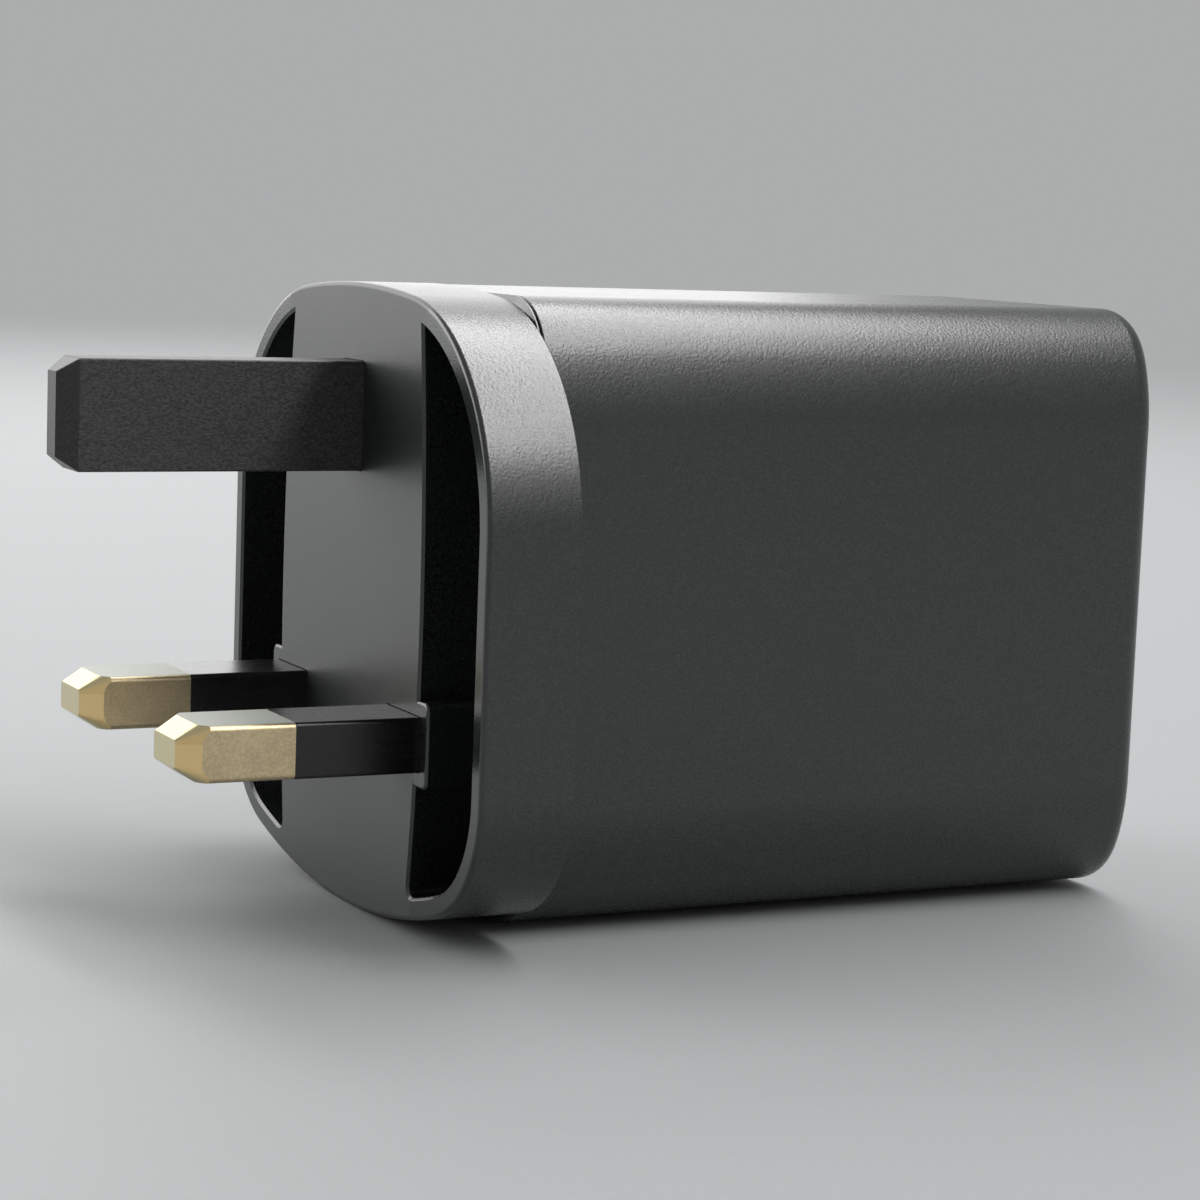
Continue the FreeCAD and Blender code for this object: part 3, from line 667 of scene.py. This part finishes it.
def bare_can(low, high):
    """The drawn can, its rolled groove and the half-moon on its free end."""
    centre = (low + high) / 2

    def finish(place):
        drawn = noise(place, 0.08 * MM, 2.0, (20, 1, 1))
        depth = along(place, "X")
        end = 1 - ramp(depth, low.x + MOON_DEPTH, low.x + MOON_DEPTH + EDGE_BLEND)
        moon = end * ramp(along(place, "Y") - centre.y, MOON_START, MOON_START + EDGE_BLEND)
        groove = place.maths("ABSOLUTE", depth - (high.x - CAN_GROOVE))
        rolled = 1 - ramp(groove, 0.0, GROOVE_HALF)
        return {
            "Base Color": blend(moon, blend(drawn, ALUMINIUM_DULL, ALUMINIUM), MOON_VIOLET),
            "Metallic": 1 - moon,
            "Roughness": 0.20 + drawn * 0.14,
            "Normal": bump(drawn * 0.05 - rolled, 0.14 * MM),
        }

    return finish


for node in ("output_capacitor_upper", "output_capacitor_lower"):
    dress([node], make_finish(node + "_can", bare_can(*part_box(node))))
dress(["port_controller"], epoxy_black)

# Output sockets
# Each socket is a shell of plated steel round a black insert with a tongue that carries gold-plated contacts.
# The slim sockets have twelve contacts on each face of the tongue, the wide one has four under it.
PLATED_BRIGHT = (0.72, 0.71, 0.69, 1)
PLATED_DULL = (0.58, 0.57, 0.55, 1)
INSERT_BLACK = (0.0100, 0.0100, 0.0105, 1)
INSERT_GREY = (0.0180, 0.0180, 0.0185, 1)
GOLD_PALE = (0.93, 0.70, 0.30, 1)
GOLD_DEEP = (0.83, 0.56, 0.19, 1)
C_TONGUE_HALF = 0.35 * MM
C_CONTACTS = {"Count": 12, "Pitch": 0.5 * MM, "Width": 0.26 * MM, "Length": 3.0 * MM, "Thickness": 0.08 * MM}
A_OUTER = {"Count": 2, "Pitch": 7.0 * MM, "Width": 1.0 * MM, "Length": 7.0 * MM, "Thickness": 0.16 * MM}
A_INNER = {"Count": 2, "Pitch": 2.0 * MM, "Width": 1.0 * MM, "Length": 6.0 * MM, "Thickness": 0.16 * MM}
C_SETBACK = 0.45 * MM
A_SETBACK = 0.6 * MM
CONTACT_ROUNDING = 0.3


def plated_steel(place):
    drawn = noise(place, 0.09 * MM, 3.0, (14, 1, 1))
    return {
        "Base Color": blend(ramp(drawn, 0.3, 0.7), PLATED_DULL, PLATED_BRIGHT),
        "Metallic": 1.0,
        "Roughness": 0.18 + drawn * 0.16,
        "Normal": bump(drawn, 0.004 * MM),
    }


def moulded_insert(place):
    fine = noise(place, 0.14 * MM, 3.0)
    return {
        "Base Color": blend(ramp(fine, 0.3, 0.7), INSERT_BLACK, INSERT_GREY),
        "Roughness": 0.34 + fine * 0.16,
        "Normal": bump(fine, 0.006 * MM),
    }


def gold_plate(place):
    wiped = noise(place, 0.05 * MM, 2.0, (20, 1, 1))
    return {
        "Base Color": blend(ramp(wiped, 0.3, 0.7), GOLD_DEEP, GOLD_PALE),
        "Metallic": 1.0,
        "Roughness": 0.16 + wiped * 0.14,
    }


def make_contact_tree(material):
    """Rows of flat contacts with softened edges, one row on each point; a contact ends at its point."""
    inputs = {"Rows": "Geometry", "Count": "Int", "Pitch": "Float", "Width": "Float", "Length": "Float",
              "Thickness": "Float"}
    tree, (rows, count, pitch, width, length, thickness) = make_tree("contact_rows", inputs)
    back = length.node("ShaderNodeCombineXYZ", {}, {"X": 0 - length, "Y": 0.0, "Z": 0.0})
    path = length.node("GeometryNodeCurvePrimitiveLine", {}, {"Start": back, "End": (0, 0, 0)})
    blank = width.node("GeometryNodeCurvePrimitiveQuadrilateral", {}, {"Width": width, "Height": thickness})
    corners = {"Curve": blank, "Count": 2, "Radius": thickness * CONTACT_ROUNDING}
    section = blank.node("GeometryNodeFilletCurve", {"mode": "POLY"}, corners)
    swept = {"Curve": path, "Profile Curve": section, "Fill Caps": True}
    contact = path.node("GeometryNodeCurveToMesh", {}, swept)
    first = pitch.node("ShaderNodeCombineXYZ", {}, {"X": 0.0, "Y": (1 - count) * pitch / 2, "Z": 0.0})
    step = pitch.node("ShaderNodeCombineXYZ", {}, {"X": 0.0, "Y": pitch, "Z": 0.0})
    line = count.node("GeometryNodeMeshLine", {}, {"Count": count, "Start Location": first, "Offset": step})
    row = line.node("GeometryNodeInstanceOnPoints", {}, {"Points": line, "Instance": contact})
    close_tree(row.node("GeometryNodeInstanceOnPoints", {}, {"Points": rows, "Instance": row}), material)
    return tree


dress(["usb_c_upper_shell", "usb_c_lower_shell", "usb_a_shell"], make_finish("plated_steel", plated_steel))
insert_black = make_finish("moulded_insert_black", moulded_insert)
dress(["usb_c_upper_insulator", "usb_c_lower_insulator", "usb_a_insulator"], insert_black)
contact_tree = make_contact_tree(make_finish("gold_plate", gold_plate))
slim_rows = []
for node in ("usb_c_upper_insulator", "usb_c_lower_insulator"):
    low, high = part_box(node)
    for face in (-1, 1):
        slim_rows.append((high.x - C_SETBACK, 0, (low.z + high.z) / 2 + face * C_TONGUE_HALF))
low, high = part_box("usb_a_insulator")
wide_row = [(high.x - A_SETBACK, 0, (low.z + high.z) / 2)]
for name, sizes, rows in (("slim_socket_contacts", C_CONTACTS, slim_rows),
                          ("wide_socket_outer_contacts", A_OUTER, wide_row),
                          ("wide_socket_inner_contacts", A_INNER, wide_row)):
    grow(name, contact_tree, sizes, rows)

# Housing
# A moulded sleeve in the same satin plastic as the base, which slides over the base's spigot to a fine seam.
# The electronics go in from the base end, and ribs inside hold the main board.
# Each corner is a tight bend that eases into the side along two wider ones, and shades as one smooth round.
CORNER_BENDS = ((16.0 * MM, 0, 18), (8.0 * MM, 18, 30), (5.1 * MM, 30, 90))
SKIN_MATCH = (0.90, 0.97)
housing_low, housing_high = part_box("main_housing")
housing_middle = (housing_low.z + housing_high.z) / 2


def bend_centres():
    """Centre, first angle and last angle of each bend of the upper +Y corner, from the side to the top."""
    y = housing_high.y
    z = 0
    last_radius = 0
    bends = []
    for radius, low, high in CORNER_BENDS:
        turn = math.radians(low)
        y += (last_radius - radius) * math.cos(turn)
        z += (last_radius - radius) * math.sin(turn)
        bends.append((y, z, turn, math.radians(high)))
        last_radius = radius
    lift = housing_high.z - housing_middle - z - last_radius
    return [(y, z + lift, low, high) for y, z, low, high in bends]


def outline_facing(place):
    """The way the outer skin faces, from the bends of its outline; the inside keeps its own."""
    facing = place.node("ShaderNodeNewGeometry", {}, {}, "Normal")
    beside = along(place, "Y")
    above = along(place, "Z") - housing_middle
    turn = 0.0
    for y, z, low, high in bend_centres():
        over = place.maths("ABSOLUTE", above) - z
        angle = place.maths("ARCTAN2", over, place.maths("ABSOLUTE", beside) - y)
        turn = turn + place.maths("MINIMUM", place.maths("MAXIMUM", angle, low), high) - low
    tilt = along(facing, "X")
    flat = place.maths("SQRT", 1 - tilt * tilt)
    across = flat * place.maths("COSINE", turn) * place.maths("SIGN", beside)
    upward = flat * place.maths("SINE", turn) * place.maths("SIGN", above)
    smooth = place.node("ShaderNodeCombineXYZ", {}, {"X": tilt, "Y": across, "Z": upward})
    match = smooth.node("ShaderNodeVectorMath", {"operation": "DOT_PRODUCT"}, {0: smooth, 1: facing}, "Value")
    values = {"Factor_Float": ramp(match, *SKIN_MATCH), "A_Vector": facing, "B_Vector": smooth}
    return match.node("ShaderNodeMix", {"data_type": "VECTOR"}, values, "Result_Vector")


def housing_plastic(place):
    return satin_plastic(place, outline_facing(place))


dress(["main_housing"], make_finish("satin_black_housing", housing_plastic))

# Output panel
# A polished black plate glued into the end of the housing, with a chamfered window for each socket.
# Handling leaves a slight haze on the gloss.
PANEL_BLACK = (0.0060, 0.0060, 0.0065, 1)
PANEL_GREY = (0.0100, 0.0100, 0.0110, 1)


def polished_plastic(place):
    haze = noise(place, 3.0 * MM, 3.0)
    return {
        "Base Color": blend(haze, PANEL_BLACK, PANEL_GREY),
        "Roughness": 0.06 + haze * 0.08,
        "Normal": bump(haze, 0.004 * MM),
    }


dress(["output_panel"], make_finish("polished_black_plastic", polished_plastic))

# Floor, light and camera
# A pale floor that fades into a pale surround, and a camera at the photograph's place and angle.
# Two long soft boxes overhead, one above the other, light the corners with a soft edge.
# One low behind lights the tops, and one at the left lights the faces of the plug end.
FLOOR_PALE = (0.41, 0.42, 0.425, 1)
FLOOR_SPECK = (0.3936, 0.4032, 0.408, 1)
FLOOR_HALF = 3.0
FADE_START = 0.35
FADE_END = 1.10
SURROUND = (0.98, 0.99, 1.0, 1)
SURROUND_SEEN = 0.42
SURROUND_LIGHT = 0.12
CAMERA_PLACE = (-103.538 * MM, -211.653 * MM, 52.064 * MM)
CAMERA_YAW = 26.595
CAMERA_PITCH = -7.193
CAMERA_ROLL = 2.123
CAMERA_LENS = 92.928
CAMERA_NEAR = 10 * MM
SENSOR_WIDTH = 36.0


def pale_floor(place):
    speckle = noise(place, 0.5 * MM)
    return {
        "Base Color": blend(ramp(speckle, 0.3, 0.7), FLOOR_SPECK, FLOOR_PALE),
        "Roughness": 0.55 + speckle * 0.2,
        "Alpha": 1 - ramp(from_axis(place, (0, 0, 0), (1, 1, 0)), FADE_START, FADE_END),
    }


floor_mesh = bpy.data.meshes.new("floor")
corners = [(-FLOOR_HALF, -FLOOR_HALF, 0), (FLOOR_HALF, -FLOOR_HALF, 0),
           (FLOOR_HALF, FLOOR_HALF, 0), (-FLOOR_HALF, FLOOR_HALF, 0)]
floor_mesh.from_pydata(corners, [], [(0, 1, 2, 3)])
floor = bpy.data.objects.new("floor", floor_mesh)
floor_mesh.materials.append(make_finish("pale_floor", pale_floor))
bpy.context.scene.collection.objects.link(floor)


def softbox(name, aim, place, across, lengthwise, radiance):
    """A rectangular lamp that faces a point, with one side across the part's length and one roughly along it.

    It shines evenly, and a radiance of 1 is as bright as white paper.
    """
    lamp = bpy.data.lights.new(name, "AREA")
    lamp.shape = "RECTANGLE"
    lamp.size = across
    lamp.size_y = lengthwise
    lamp.energy = radiance * math.pi * across * lengthwise
    holder = bpy.data.objects.new(name, lamp)
    holder.location = place
    back = (Vector(place) - Vector(aim)).normalized()
    side = back.cross(Vector((1, 0, 0))).normalized()
    holder.rotation_euler = Matrix((side, back.cross(side), back)).transposed().to_euler()
    holder.visible_camera = False
    bpy.context.scene.collection.objects.link(holder)


middle = (cad_box[0] + cad_box[1]) / 2
softbox("softbox_above", middle, place=(0.42, -0.15, 0.865), across=1.75, lengthwise=0.18, radiance=8.2)
softbox("softbox_wide", middle, place=(0.49, -0.30, 0.96), across=4.00, lengthwise=0.18, radiance=3.6)
softbox("softbox_behind", middle, place=(-0.20, 1.00, 0.50), across=1.05, lengthwise=2.00, radiance=1.7)
softbox("softbox_left", middle, place=(-0.80, 0.58, 0.40), across=0.55, lengthwise=1.00, radiance=2.4)

world = bpy.data.worlds.new("studio")
world.use_nodes = True
sky = world.node_tree
sky.nodes.clear()
rays = Signal(sky).node("ShaderNodeLightPath", {}, {}, "Is Camera Ray")
mirrored = find_socket(rays.socket.node.outputs, "Is Glossy Ray")
passed = find_socket(rays.socket.node.outputs, "Is Transmission Ray")
seen = rays.maths("MINIMUM", rays + Signal(sky, mirrored) + Signal(sky, passed), 1.0)
level = SURROUND_LIGHT + seen * (SURROUND_SEEN - SURROUND_LIGHT)
surround = level.node("ShaderNodeBackground", {}, {"Color": SURROUND, "Strength": level})
surround.node("ShaderNodeOutputWorld", {}, {"Surface": surround})
bpy.context.scene.world = world
bpy.context.scene.view_settings.view_transform = "Standard"

camera_data = bpy.data.cameras.new("camera")
camera_data.lens = CAMERA_LENS
camera_data.sensor_width = SENSOR_WIDTH
camera_data.clip_start = CAMERA_NEAR
camera = bpy.data.objects.new("camera", camera_data)
camera.location = CAMERA_PLACE
level_turn = Euler((math.radians(90 + CAMERA_PITCH), 0, math.radians(-CAMERA_YAW))).to_matrix()
camera.rotation_euler = (level_turn @ Euler((0, 0, math.radians(CAMERA_ROLL))).to_matrix()).to_euler()
bpy.context.scene.collection.objects.link(camera)
bpy.context.scene.camera = camera
